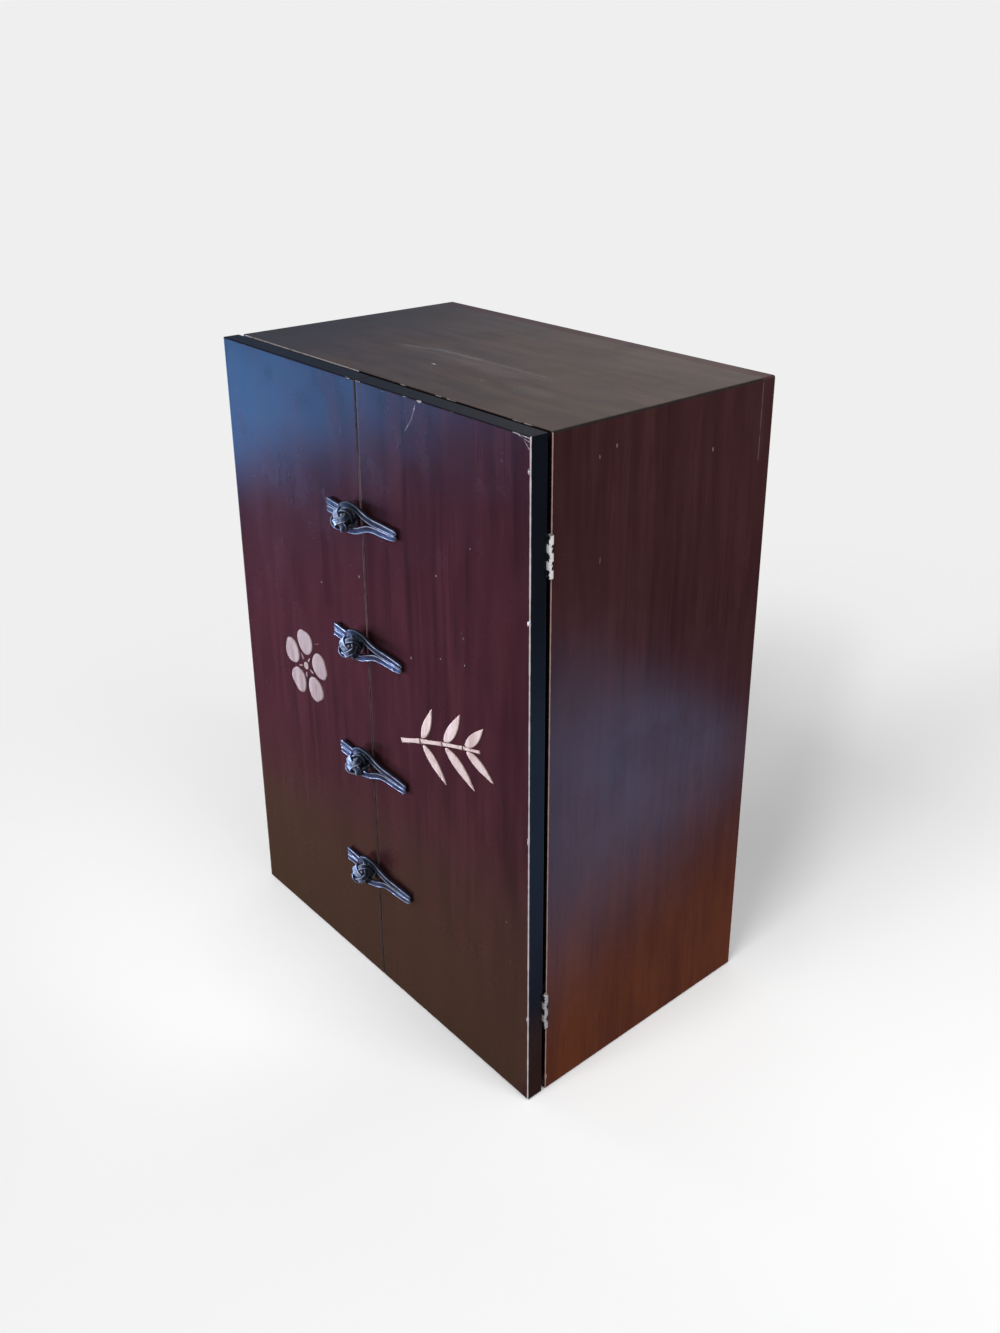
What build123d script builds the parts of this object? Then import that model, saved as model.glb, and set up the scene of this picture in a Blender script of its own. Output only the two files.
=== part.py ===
"""A tall two-door wooden case for shoe brushes and polish.

A mitred case with a laid-on back board and one housed shelf. Two overlay doors
meet at a centre seam, swing on small butt hinges at their outer edges, and are
held shut by four cord frogs: a ball knot on the left door in a loop from the right.

Frame: origin at the centre of the case's underside; +X right, +Y to the back, +Z up.
The doors hang in front of the case, towards -Y. Millimetres.
"""

import os

from build123d import *

os.makedirs("parts", exist_ok=True)

# ---------------------------------------------------------------- driving sizes
# Case
case_width = 320.0
case_height = 450.0
case_depth = 187.0
board_thickness = 12.0
back_thickness = 12.0
corner_round = 1.5
front_edge_round = 0.6
back_edge_round = 1.2

# Shelf: a bare-faced tongue at each end, housed in a groove of the side
shelf_thickness = 12.0
shelf_underside = 208.0
shelf_setback = 3.0
tongue_thickness = 8.0
dado_depth = 4.0
dado_slack = 0.2

# Doors
door_thickness = 12.0
seam_width = 1.0
floor_gap = 1.0
door_edge_round = 0.8

# Butt hinges: the closed leaves and the barrel fill the gap behind the doors
barrel_diameter = 3.5
barrel_overhang = 1.2
hinge_length = 25.0
knuckle_count = 5
knuckle_gap = 0.16
leaf_width = 9.5
leaf_thickness = 1.0
leaf_corner_round = 1.2
leaf_relief = 0.3
pin_diameter = 1.7
pin_running_gap = 0.04
pin_head_diameter = 2.8
pin_head_height = 0.8
upper_hinge_drop = 70.0
lower_hinge_rise = 67.0

# Countersunk screws of the hinges
screw_diameter = 2.2
screw_length = 9.5
screw_spacing = 14.0
screw_slack = 0.02
screw_tip_length = 2.0
screw_slot_width = 0.5
screw_slot_depth = 0.4
countersink_land = 0.15

# Nails that hold the back board
nail_diameter = 1.6
nail_head_diameter = 3.4
nail_head_thickness = 0.8
nail_grip = 13.0
nail_slack = 0.02
nail_end_margin = 28.0

# Frogs: cord fasteners, one above the other on the seam
frog_count = 4
frog_pitch = 90.0
cord_width = 4.4
cord_thickness = 3.2
cord_bevel = 1.1
ball_diameter = 15.6
ball_band_width = 4.4
ball_band_height = 1.4
ball_band_step = 0.3
ball_left_of_seam = 6.8
ball_standoff = 9.0
tail_reach = 36.0
tail_end_round = 1.6
loop_start = 12.0
loop_reach = 40.0
loop_tip_width = 4.4
loop_tip_length = 8.0
strand_overlap = 0.97
eye_cord_diameter = 3.8
eye_cord_sides = 8
eye_gap = 0.3
eye_bend_radius = 4.0
eye_stub = 3.0
eye_corners = ((103.0, 0.9), (153.0, 1.09))  # turn round the ball from +X, distance in reaches

# ---------------------------------------------------------------- derived places
half_width = case_width / 2
half_depth = case_depth / 2
front = -half_depth
back = half_depth
frame_depth = case_depth - back_thickness
inner_half_width = half_width - board_thickness
door_back = front - barrel_diameter
door_front = door_back - door_thickness
door_height = case_height - floor_gap
door_middle = floor_gap + door_height / 2

barrel_radius = barrel_diameter / 2
barrel_x = half_width + barrel_overhang
barrel_y = front - barrel_radius
leaf_root_x = barrel_x - barrel_radius - leaf_relief
leaf_middle_x = leaf_root_x - leaf_width / 2
hinge_heights = {"upper": case_height - upper_hinge_drop, "lower": lower_hinge_rise}
knuckle_pitch = hinge_length / knuckle_count

head_height = leaf_thickness - countersink_land
head_diameter = screw_diameter + 2 * head_height
pilot_radius = screw_diameter / 2 + screw_slack
pilot_depth = screw_length - leaf_thickness + 2 * screw_slack

nail_depth = back_thickness + nail_grip
nail_column_x = half_width - board_thickness / 2
nail_row_z = board_thickness / 2

front_face = Plane.XZ.offset(-front)
back_face = Plane.XZ.offset(-back)
door_back_face = Plane.XZ.offset(-door_back)
door_front_face = Plane.XZ.offset(-door_front)

frog_heights = [case_height / 2 + frog_pitch * (n - (frog_count - 1) / 2) for n in range(frog_count)]


def save(piece, name):
    """Label a finished piece and write it to a STEP file of its own."""
    piece.part.label = name
    export_step(piece.part, f"parts/{name}.step")


# ---------------------------------------------------------------- case
def screw_places(side):
    """Centres of the hinge screws on one side, as (x, z): two to a leaf."""
    return [
        (side * leaf_middle_x, height + step * screw_spacing / 2)
        for height in hinge_heights.values()
        for step in (-1, 1)
    ]


def nail_places():
    """Centres of the back board's nails, as (x, z): three up each side, one mid top and bottom."""
    columns = [
        (side * nail_column_x, z)
        for side in (-1, 1)
        for z in (nail_end_margin, case_height / 2, case_height - nail_end_margin)
    ]
    rows = [(0, nail_row_z), (0, case_height - nail_row_z)]
    return columns + rows


def case_board(name, outer_a, outer_b, inner_b, inner_a, housed=False):
    """One mitred board of the case's frame: the part of the ring between four corners (x, z)."""
    side = 1 if outer_a[0] > 0 else -1
    with BuildPart() as board:
        with BuildSketch(front_face):
            with Locations((0, case_height / 2)):
                ring = Rectangle(case_width, case_height)
                fillet(ring.vertices(), corner_round)
                Rectangle(
                    case_width - 2 * board_thickness,
                    case_height - 2 * board_thickness,
                    mode=Mode.SUBTRACT,
                )
        extrude(amount=-frame_depth)
        front_rim = board.faces().sort_by(Axis.Y)[0].outer_wire()
        fillet(front_rim.edges(), front_edge_round)
        with BuildSketch(front_face):
            with BuildLine():
                Polyline(outer_a, outer_b, inner_b, inner_a, close=True)
            make_face()
        extrude(amount=-frame_depth, mode=Mode.INTERSECT)
        with BuildSketch(back_face):
            with Locations(*nail_places()):
                Circle(nail_diameter / 2 + nail_slack)
        extrude(amount=nail_depth, mode=Mode.SUBTRACT)
        if housed:
            with BuildSketch(front_face):
                with Locations(*screw_places(side)):
                    Circle(pilot_radius)
            extrude(amount=-pilot_depth, mode=Mode.SUBTRACT)
            groove_y = front + shelf_setback
            groove = (side * inner_half_width, groove_y, shelf_underside)
            with Locations(groove):
                Box(
                    2 * dado_depth,
                    frame_depth - shelf_setback,
                    tongue_thickness + dado_slack,
                    align=(Align.CENTER, Align.MIN, Align.MIN),
                    mode=Mode.SUBTRACT,
                )
    save(board, name)


inner_bottom = board_thickness
inner_top = case_height - board_thickness

case_board(
    "left_side",
    (-half_width, 0),
    (-half_width, case_height),
    (-inner_half_width, inner_top),
    (-inner_half_width, inner_bottom),
    housed=True,
)
case_board(
    "right_side",
    (half_width, 0),
    (half_width, case_height),
    (inner_half_width, inner_top),
    (inner_half_width, inner_bottom),
    housed=True,
)
case_board(
    "top_board",
    (-half_width, case_height),
    (half_width, case_height),
    (inner_half_width, inner_top),
    (-inner_half_width, inner_top),
)
case_board(
    "bottom_board",
    (-half_width, 0),
    (half_width, 0),
    (inner_half_width, inner_bottom),
    (-inner_half_width, inner_bottom),
)

with BuildPart() as back_board:
    with BuildSketch(back_face):
        with Locations((0, case_height / 2)):
            RectangleRounded(case_width, case_height, corner_round)
    extrude(amount=back_thickness)
    back_rim = back_board.faces().sort_by(Axis.Y)[-1].outer_wire()
    fillet(back_rim.edges(), back_edge_round)
    with BuildSketch(back_face):
        with Locations(*nail_places()):
            Circle(nail_diameter / 2 + nail_slack)
    extrude(amount=back_thickness, mode=Mode.SUBTRACT)
    with BuildSketch(back_face):
        with Locations(*nail_places()):
            Circle(nail_head_diameter / 2 + nail_slack)
    extrude(amount=nail_head_thickness, mode=Mode.SUBTRACT)
save(back_board, "back_board")

with BuildPart() as back_nails:
    with BuildSketch(back_face):
        with Locations(*nail_places()):
            Circle(nail_head_diameter / 2)
    extrude(amount=nail_head_thickness)
    with BuildSketch(back_face):
        with Locations(*nail_places()):
            Circle(nail_diameter / 2)
    extrude(amount=nail_depth)
save(back_nails, "back_nails")

with BuildPart() as shelf:
    tongue_reach = inner_half_width + dado_depth - dado_slack
    with BuildSketch(Plane.XZ.offset(-front - shelf_setback)):
        with Locations((0, shelf_underside)):
            on_underside = (Align.CENTER, Align.MIN)
            Rectangle(2 * inner_half_width, shelf_thickness, align=on_underside)
            Rectangle(2 * tongue_reach, tongue_thickness, align=on_underside)
    extrude(amount=shelf_setback - frame_depth)
    shelf_lip = shelf.faces().sort_by(Axis.Y)[0].edges().filter_by(Axis.X).sort_by(Axis.Z)
    fillet([shelf_lip[0], shelf_lip[-1]], front_edge_round)
save(shelf, "shelf")


# ---------------------------------------------------------------- doors
def door(name, side):
    """One overlay door, from the case's outer face to the seam, with its hinges' pilot holes."""
    seam_edge = side * seam_width / 2
    hinge_edge = side * half_width
    with BuildPart() as panel:
        with BuildSketch(door_back_face):
            with Locations(((seam_edge + hinge_edge) / 2, door_middle)):
                Rectangle(half_width - seam_width / 2, door_height)
        extrude(amount=door_thickness)
        face_rim = panel.faces().sort_by(Axis.Y)[0].edges()
        fillet(face_rim, door_edge_round)
        with BuildSketch(door_back_face):
            with Locations(*screw_places(side)):
                Circle(pilot_radius)
        extrude(amount=pilot_depth, mode=Mode.SUBTRACT)
    save(panel, name)


door("left_door", -1)
door("right_door", 1)


# ---------------------------------------------------------------- hinges
def hinge_leaf(name, side, height, on_door):
    """One leaf: a flat plate on the wood, its own knuckles on the barrel, countersunk holes."""
    bottom = height - hinge_length / 2
    wood_y = door_back if on_door else front
    towards_gap = 1 if on_door else -1
    show_y = wood_y + towards_gap * leaf_thickness
    own_knuckles = range(1 if on_door else 0, knuckle_count, 2)
    with BuildPart() as leaf:
        with BuildSketch(Plane.XZ.offset(-wood_y)):
            with Locations((side * leaf_middle_x, height)):
                plate = Rectangle(leaf_width, hinge_length)
            free_corners = plate.vertices().sort_by(Axis.X)
            free_corners = free_corners[:2] if side > 0 else free_corners[2:]
            fillet(free_corners, leaf_corner_round)
        extrude(amount=-towards_gap * leaf_thickness)
        for n in own_knuckles:
            low = bottom + n * knuckle_pitch + (knuckle_gap / 2 if n > 0 else 0)
            high = bottom + (n + 1) * knuckle_pitch - (knuckle_gap / 2 if n < knuckle_count - 1 else 0)
            with BuildSketch(Plane.XY.offset(low)):
                with Locations((side * barrel_x, barrel_y)):
                    Circle(barrel_radius)
                with Locations((side * (leaf_root_x + barrel_x) / 2, (wood_y + show_y) / 2)):
                    Rectangle(barrel_x - leaf_root_x, leaf_thickness)
            extrude(amount=high - low)
        with Locations((side * barrel_x, barrel_y, bottom)):
            Cylinder(
                pin_diameter / 2 + pin_running_gap,
                hinge_length,
                align=(Align.CENTER, Align.CENTER, Align.MIN),
                mode=Mode.SUBTRACT,
            )
        for x, z in screw_places(side):
            if abs(z - height) < hinge_length / 2:
                with Locations(Plane((x, show_y, z), z_dir=(0, towards_gap, 0))):
                    CounterSinkHole(
                        pilot_radius,
                        head_diameter / 2 + screw_slack,
                        depth=leaf_thickness,
                        counter_sink_angle=90,
                    )
    save(leaf, name)


def hinge_pin(name, side, height):
    """A headed pin through all the knuckles of one hinge."""
    with BuildPart() as pin:
        with Locations((side * barrel_x, barrel_y, height)):
            Cylinder(pin_diameter / 2, hinge_length)
        for end in (-1, 1):
            with Locations((side * barrel_x, barrel_y, height + end * (hinge_length + pin_head_height) / 2)):
                Cylinder(pin_head_diameter / 2, pin_head_height)
        caps = pin.faces().filter_by(Axis.Z)
        chamfer(caps.sort_by(Axis.Z)[-1].edges(), pin_head_height / 2)
        chamfer(caps.sort_by(Axis.Z)[0].edges(), pin_head_height / 2)
    save(pin, name)


def hinge_screws(name, sides, on_door):
    """Slotted countersunk screws, heads flush with the leaves, shanks in the wood."""
    wood_y = door_back if on_door else front
    towards_gap = 1 if on_door else -1
    show_y = wood_y + towards_gap * leaf_thickness
    shank_length = screw_length - head_height - screw_tip_length
    top_down = (Align.CENTER, Align.CENTER, Align.MAX)
    with BuildPart() as screws:
        for x, z in [place for side in sides for place in screw_places(side)]:
            with Locations(Plane((x, show_y, z), z_dir=(0, towards_gap, 0))):
                Cone(screw_diameter / 2, head_diameter / 2, head_height, align=top_down)
                Box(head_diameter, screw_slot_width, 2 * screw_slot_depth, mode=Mode.SUBTRACT)
                with Locations((0, 0, -head_height)):
                    Cylinder(screw_diameter / 2, shank_length, align=top_down)
                with Locations((0, 0, -head_height - shank_length)):
                    Cone(screw_diameter / 8, screw_diameter / 2, screw_tip_length, align=top_down)
    save(screws, name)


for side_name, side in {"left": -1, "right": 1}.items():
    for level, height in hinge_heights.items():
        hinge_leaf(f"{level}_{side_name}_case_leaf", side, height, on_door=False)
        hinge_leaf(f"{level}_{side_name}_door_leaf", side, height, on_door=True)
        hinge_pin(f"{level}_{side_name}_hinge_pin", side, height)
    hinge_screws(f"{side_name}_door_screws", [side], on_door=True)
hinge_screws("case_screws", [-1, 1], on_door=False)


# ---------------------------------------------------------------- frogs
def twin_cord_section(plane):
    """Two folded straps lying side by side on a face: a pair of blocks with bevelled shoulders."""
    with BuildSketch(plane) as section:
        for side in (-1, 1):
            with Locations((side * cord_width * strand_overlap / 2, cord_thickness / 2)):
                strap = Rectangle(cord_width, cord_thickness)
            chamfer(strap.vertices().group_by(Axis.Y)[-1], cord_bevel)
    return section.sketch


def knot_ball():
    """The knot's ball about the origin: three strap rings at right angles, each laid over the last."""
    ball_radius = ball_diameter / 2
    with BuildPart() as rings:
        Sphere(ball_radius - ball_band_height)
        for layer, plane in enumerate([Plane.XZ, Plane.XY, Plane.ZX]):
            outer_radius = ball_radius - layer * ball_band_step
            with BuildSketch(plane):
                with Locations((outer_radius - ball_band_height, 0)):
                    strap = Rectangle(2 * ball_band_height, ball_band_width)
                chamfer(strap.vertices().group_by(Axis.X)[-1], cord_bevel)
            revolve(axis=Axis(plane.origin, plane.y_dir))
    return rings.part


tied_ball = knot_ball()


def knot(name, height):
    """A ball knot with its two tails on the left door."""
    tail_plane = Plane((-tail_reach, door_front, height), x_dir=(0, 0, 1), z_dir=(1, 0, 0))
    with BuildPart() as frog:
        extrude(twin_cord_section(tail_plane), amount=tail_reach - ball_left_of_seam)
        with BuildSketch(door_front_face):
            with Locations(((-tail_reach - ball_left_of_seam) / 2, height)):
                RectangleRounded(tail_reach - ball_left_of_seam, 2 * cord_width, tail_end_round)
        extrude(amount=cord_thickness, mode=Mode.INTERSECT)
        with Locations((-ball_left_of_seam, door_front - ball_standoff, height)):
            add(tied_ball)
    save(frog, name)


def loop_tail(name, height):
    """The sewn-down half of the loop on the right door: two cords that close to a blunt tip."""
    tail_plane = Plane((loop_start, door_front, height), x_dir=(0, 0, 1), z_dir=(1, 0, 0))
    shoulder = loop_reach - loop_tip_length
    with BuildPart() as frog:
        extrude(twin_cord_section(tail_plane), amount=loop_reach - loop_start)
        with BuildSketch(door_front_face):
            with BuildLine():
                Polyline(
                    (loop_start, height - cord_width),
                    (shoulder, height - cord_width),
                    (loop_reach, height - loop_tip_width / 2),
                    (loop_reach, height + loop_tip_width / 2),
                    (shoulder, height + cord_width),
                    (loop_start, height + cord_width),
                    close=True,
                )
            blank = make_face()
            fillet(blank.vertices().sort_by(Axis.X)[-2:], loop_tip_width / 2.5)
        extrude(amount=cord_thickness, mode=Mode.INTERSECT)
    save(frog, name)


def loop_eye(name, height):
    """The free eye of the loop: one round cord up from the tail, round under the ball and back."""
    cord_radius = eye_cord_diameter / 2
    reach = ball_diameter / 2 + cord_radius + eye_gap
    low = cord_radius + eye_gap
    high = cord_thickness + cord_radius + eye_gap
    root_x = loop_start - eye_gap
    upper_half = [(root_x, low, cord_width / 2), (root_x - eye_stub, low, cord_width / 2)]
    for (turn, stretch), out in zip(eye_corners, (low, high)):
        offset = Vector(reach * stretch, 0).rotate(Axis.Z, turn)
        upper_half.append((offset.X - ball_left_of_seam, out, offset.Y))
    lower_half = [(x, out, -up) for x, out, up in reversed(upper_half)]
    route = [(x, door_front - out, height + up) for x, out, up in upper_half + lower_half]
    with BuildPart() as frog:
        with BuildLine():
            path = FilletPolyline(*route, radius=eye_bend_radius)
        with BuildSketch(Plane(path @ 0, z_dir=path % 0)):
            RegularPolygon(cord_radius, eye_cord_sides)
        sweep()
    save(frog, name)


for number, height in enumerate(reversed(frog_heights), start=1):
    knot(f"frog_{number}_knot", height)
    loop_tail(f"frog_{number}_loop_tail", height)
    loop_eye(f"frog_{number}_loop_eye", height)
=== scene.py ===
# %% [markdown]
# # A lacquered two-door wooden case, dressed
#
# The case is a mitred box with two overlay doors, small nickel hinges and four cord frogs.
# Its boards, hinges and screws come ready-made in the frame, so this script gives them their
# finish: dark wine-coloured lacquer over open-grained wood, rubbed through along the edges.
# It then ties the frogs, lays two bare-wood ornaments on the doors, and lights the scene.
# Lengths are written in millimetres and turned into metres where they meet Blender.

# %% Load the frame
from math import pi

import bpy
import numpy as np
from mathutils import Euler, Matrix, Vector


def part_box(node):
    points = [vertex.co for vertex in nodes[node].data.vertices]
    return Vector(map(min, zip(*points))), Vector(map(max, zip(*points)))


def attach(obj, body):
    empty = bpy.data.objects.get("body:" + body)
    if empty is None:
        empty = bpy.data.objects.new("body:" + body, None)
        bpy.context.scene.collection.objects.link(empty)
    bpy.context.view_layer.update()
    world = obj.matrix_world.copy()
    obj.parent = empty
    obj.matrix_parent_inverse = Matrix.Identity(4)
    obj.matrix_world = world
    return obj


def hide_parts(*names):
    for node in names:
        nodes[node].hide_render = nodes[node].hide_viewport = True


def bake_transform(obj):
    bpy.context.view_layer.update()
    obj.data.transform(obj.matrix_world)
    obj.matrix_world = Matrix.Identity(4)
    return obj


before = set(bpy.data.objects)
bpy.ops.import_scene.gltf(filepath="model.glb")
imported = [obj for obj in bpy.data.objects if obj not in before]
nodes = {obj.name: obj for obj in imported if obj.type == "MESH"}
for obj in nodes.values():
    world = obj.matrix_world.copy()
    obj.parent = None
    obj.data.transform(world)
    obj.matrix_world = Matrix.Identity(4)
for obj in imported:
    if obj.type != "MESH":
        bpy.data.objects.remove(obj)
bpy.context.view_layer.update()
MM = 0.001


def mm(*lengths):
    """Millimetres as a tuple of metres."""
    return tuple(length * MM for length in lengths)


case_low, case_high = (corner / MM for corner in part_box("right_side"))
door_low, door_high = (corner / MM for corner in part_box("right_door"))
SIDE_X, CASE_FRONT, CASE_TOP = case_high.x, case_low.y, case_high.z
DOOR_FRONT, DOOR_BACK, DOOR_FOOT, SEAM_X = door_low.y, door_high.y, door_low.z, door_low.x
print(f"{len(nodes)} nodes; case {2 * SIDE_X:.0f} mm wide and {CASE_TOP:.0f} mm tall")

# %% [markdown]
# ## Camera
#
# A product shot from above the right-hand edge: the front and the right side show together.
# The lens is fairly wide for the distance, so the uprights lean together towards the floor.
# The small shift moves the picture's middle off the lens axis and keeps the uprights calm.

# %% Place the camera
camera_data = bpy.data.cameras.new("camera")
camera_data.lens = 33.602
camera_data.sensor_width = 36.0
camera_data.shift_x = -0.01848
camera_data.shift_y = -0.07857
camera_data.clip_start = 0.02
camera = bpy.data.objects.new("camera", camera_data)
camera.location = (0.61981, -0.5208, 0.63414)
camera.rotation_euler = Euler([angle * pi / 180 for angle in (67.6606, -0.1527, 48.4883)])
bpy.context.scene.collection.objects.link(camera)
bpy.context.scene.camera = camera
bpy.context.scene.view_settings.view_transform = "Standard"

# %% [markdown]
# ## Writing shader nodes as sums
#
# A shader tree is a drawing, but most of it is arithmetic on masks. This small class adds one
# node for each call and returns its output, so a mask reads like a formula.


# %% A shorthand for shader nodes
class Graph:
    """Adds nodes to one shader tree. Every method makes a node and returns its output socket."""

    def __init__(self, tree):
        self.tree = tree

    def node(self, kind, settings=None, **inputs):
        """A node with these settings. Its inputs are given by name, a space written as _."""
        node = self.tree.nodes.new("ShaderNode" + kind)
        for name, value in (settings or {}).items():
            setattr(node, name, value)
        for name, value in inputs.items():
            self.feed(value, node.inputs[name.replace("_", " ")])
        return node

    def feed(self, value, socket):
        """Links an output to a socket, or writes a plain value into it."""
        if isinstance(value, bpy.types.NodeSocket):
            self.tree.links.new(value, socket)
        else:
            socket.default_value = value

    def math(self, operation, a, b=0.0, clamp=False):
        node = self.node("Math", {"operation": operation, "use_clamp": clamp})
        self.feed(a, node.inputs[0])
        self.feed(b, node.inputs[1])
        return node.outputs[0]

    def times(self, a, b):
        return self.math("MULTIPLY", a, b)

    def plus(self, a, b):
        return self.math("ADD", a, b)

    def minus(self, a, b):
        return self.math("SUBTRACT", a, b)

    def vector(self, operation, a, b=(0.0, 0.0, 0.0)):
        node = self.node("VectorMath", {"operation": operation})
        self.feed(a, node.inputs[0])
        self.feed(b, node.inputs[1])
        gives_number = operation in ("LENGTH", "DISTANCE", "DOT_PRODUCT")
        return node.outputs["Value" if gives_number else "Vector"]

    def scaled(self, vector, factor):
        node = self.node("VectorMath", {"operation": "SCALE"})
        self.feed(vector, node.inputs[0])
        self.feed(factor, node.inputs["Scale"])
        return node.outputs["Vector"]

    def ramp(self, value, low, high, start=0.0, end=1.0):
        """Start up to low, end from high on, and a smooth step between them."""
        node = self.node("MapRange", {"interpolation_type": "SMOOTHSTEP"})
        for socket, number in zip(node.inputs, (value, low, high, start, end)):
            self.feed(number, socket)
        return node.outputs[0]

    def band(self, value, outside, inside, leaving, left):
        """One between two limits, nought beyond them, with a smooth step at either."""
        return self.times(self.ramp(value, outside, inside), self.ramp(value, leaving, left, 1.0, 0.0))

    def noise(self, vector, scale, detail=2.0, roughness=0.5):
        node = self.node("TexNoise", Vector=vector, Scale=scale, Detail=detail, Roughness=roughness)
        return node.outputs[0]

    def mix(self, factor, a, b):
        node = self.node("Mix", {"data_type": "RGBA"})
        for place, value in ((0, factor), (6, a), (7, b)):
            self.feed(value, node.inputs[place])
        return node.outputs[2]

    def split(self, vector):
        return self.node("SeparateXYZ", Vector=vector).outputs

    def use(self, group, **inputs):
        return self.node("Group", {"node_tree": group}, **inputs).outputs

    def bump(self, shader, strength, distance, relief):
        """Tilts the shader's normal as if the surface rose and fell with the relief."""
        node = self.node("Bump", Strength=strength, Distance=distance, Height=relief)
        self.feed(node.outputs[0], shader.inputs["Normal"])


ORIGIN = (0.0, 0.0, 0.0)


def new_group(name, inputs, outputs):
    """A shader node group with these sockets: its graph, its inputs and its outputs to feed."""
    tree = bpy.data.node_groups.new(name, "ShaderNodeTree")
    for label, default in inputs.items():
        kind = "NodeSocketFloat" if isinstance(default, float) else "NodeSocketVector"
        socket = tree.interface.new_socket(label, in_out="INPUT", socket_type=kind)
        socket.default_value = default
    for label in outputs:
        tree.interface.new_socket(label, in_out="OUTPUT", socket_type="NodeSocketFloat")
    given = tree.nodes.new("NodeGroupInput").outputs
    result = tree.nodes.new("NodeGroupOutput").inputs
    return Graph(tree), given, result


# %% [markdown]
# ## Wood grain
#
# The lacquer is thin enough for the grain to show as long dark and light streaks. Noise makes
# them if its coordinates are squeezed along the board, so that every blot is drawn out into a
# line. Several scales are used: broad clouds and blotches in the stain, bands and streaks of
# three widths, livelier in some places than in others, and short open pores that the lacquer
# sank into. A noise's scale is about how many of its blots fit in a metre, before the squeeze.

# %% Wood grain group
graph, given, result = new_group(
    "Wood grain",
    {"Position": ORIGIN, "Squeeze": (1.0, 1.0, 0.03)},
    ["Streaks", "Pores", "Clouds", "Blotches"],
)
position = given["Position"]
squeezed = graph.vector("MULTIPLY", position, given["Squeeze"])
sway = graph.scaled(graph.node("TexNoise", Vector=position, Scale=9.0).outputs[1], 0.004)
wavy = graph.vector("ADD", squeezed, sway)
fine = graph.noise(wavy, 520.0, 3.0, 0.6)
broad = graph.noise(wavy, 150.0, 2.0)
bands = graph.noise(wavy, 46.0, 2.0)
blend = graph.plus(graph.times(fine, 0.30), graph.times(broad, 0.40))
blend = graph.plus(blend, graph.times(bands, 0.30))
lively = graph.ramp(graph.noise(position, 17.0), 0.35, 0.62, 0.45, 1.35)
blend = graph.times(graph.minus(blend, 0.5), lively)
graph.feed(graph.ramp(blend, -0.14, 0.14), result["Streaks"])
graph.feed(graph.ramp(graph.noise(wavy, 1300.0, 1.0), 0.62, 0.74), result["Pores"])
graph.feed(graph.ramp(graph.noise(position, 7.0, 3.0), 0.3, 0.7), result["Clouds"])
eased = graph.vector("ADD", given["Squeeze"], (0.22, 0.22, 0.22))
drawn_out = graph.vector("MULTIPLY", position, eased)
graph.feed(graph.ramp(graph.noise(drawn_out, 62.0, 2.0), 0.30, 0.70), result["Blotches"])
GRAIN = graph.tree

# %% [markdown]
# ## Wear
#
# Lacquer gives way first along sharp edges, where every touch rubs. A worn edge is a mask: one
# near the line of the edge, cut ragged by noise, and left out where the noise is low. Knocks
# take off small flakes, and a nail or key leaves a hairline scratch. Each is a group, because
# every board has some. The coverage of a worn edge is the share of its length that is bare.

# %% Worn edge, chip and scratch groups
graph, given, result = new_group(
    "Worn edge",
    {"Position": ORIGIN, "Corner": ORIGIN, "Across": (1.0, 1.0, 0.0), "Width": 0.001, "Coverage": 0.5},
    ["Mask"],
)
position = given["Position"]
offset = graph.vector("SUBTRACT", position, given["Corner"])
distance = graph.vector("LENGTH", graph.vector("MULTIPLY", offset, given["Across"]))
patchy = graph.noise(position, 60.0, 3.0, 0.65)
least = graph.minus(0.72, graph.times(given["Coverage"], 0.5))
kept = graph.ramp(patchy, graph.minus(least, 0.05), graph.plus(least, 0.05))
ragged = graph.ramp(graph.noise(position, 150.0, 3.0), 0.3, 0.7, 0.8, 1.1)
reach = graph.times(given["Width"], graph.times(ragged, kept))
near = graph.ramp(distance, graph.times(reach, 0.55), reach, 1.0, 0.0)
graph.feed(graph.times(near, kept), result["Mask"])
WORN_EDGE = graph.tree

graph, given, result = new_group(
    "Chip",
    {"Position": ORIGIN, "Place": ORIGIN, "Size": (0.001, 0.001, 0.001)},
    ["Mask"],
)
position = given["Position"]
offset = graph.vector("SUBTRACT", position, given["Place"])
distance = graph.vector("LENGTH", graph.vector("DIVIDE", offset, given["Size"]))
torn = graph.plus(distance, graph.ramp(graph.noise(position, 900.0), 0.2, 0.8, -0.5, 0.5))
graph.feed(graph.ramp(torn, 0.8, 1.0, 1.0, 0.0), result["Mask"])
CHIP = graph.tree

graph, given, result = new_group(
    "Scratch",
    {"Position": ORIGIN, "Start": ORIGIN, "Finish": (1.0, 0.0, 0.0), "Width": 0.0003},
    ["Mask"],
)
position = given["Position"]
run = graph.vector("SUBTRACT", given["Finish"], given["Start"])
offset = graph.vector("SUBTRACT", position, given["Start"])
share = graph.math(
    "DIVIDE",
    graph.vector("DOT_PRODUCT", offset, run),
    graph.vector("DOT_PRODUCT", run, run),
    clamp=True,
)
distance = graph.vector("LENGTH", graph.vector("SUBTRACT", offset, graph.scaled(run, share)))
unsteady = graph.ramp(graph.noise(position, 160.0), 0.25, 0.48)
line = graph.ramp(distance, 0.0, given["Width"], 1.0, 0.0)
graph.feed(graph.times(line, unsteady), result["Mask"])
SCRATCH = graph.tree

# %% [markdown]
# ## Handling marks
#
# Years of handling leave faint cloudy smears, which show only in the gloss, and a scatter of
# tiny pale specks where the film is pricked through.

# %% Handling group
graph, given, result = new_group("Handling", {"Position": ORIGIN}, ["Smears", "Specks"])
position = given["Position"]
graph.feed(graph.ramp(graph.noise(position, 26.0, 4.0, 0.6), 0.35, 0.7), result["Smears"])
cells = graph.node("TexVoronoi", Vector=position, Scale=70.0).outputs
dot = graph.ramp(cells["Distance"], 0.015, 0.035, 1.0, 0.0)
rare = graph.ramp(graph.noise(position, 24.0), 0.56, 0.62)
graph.feed(graph.times(dot, rare), result["Specks"])
HANDLING = graph.tree

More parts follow.
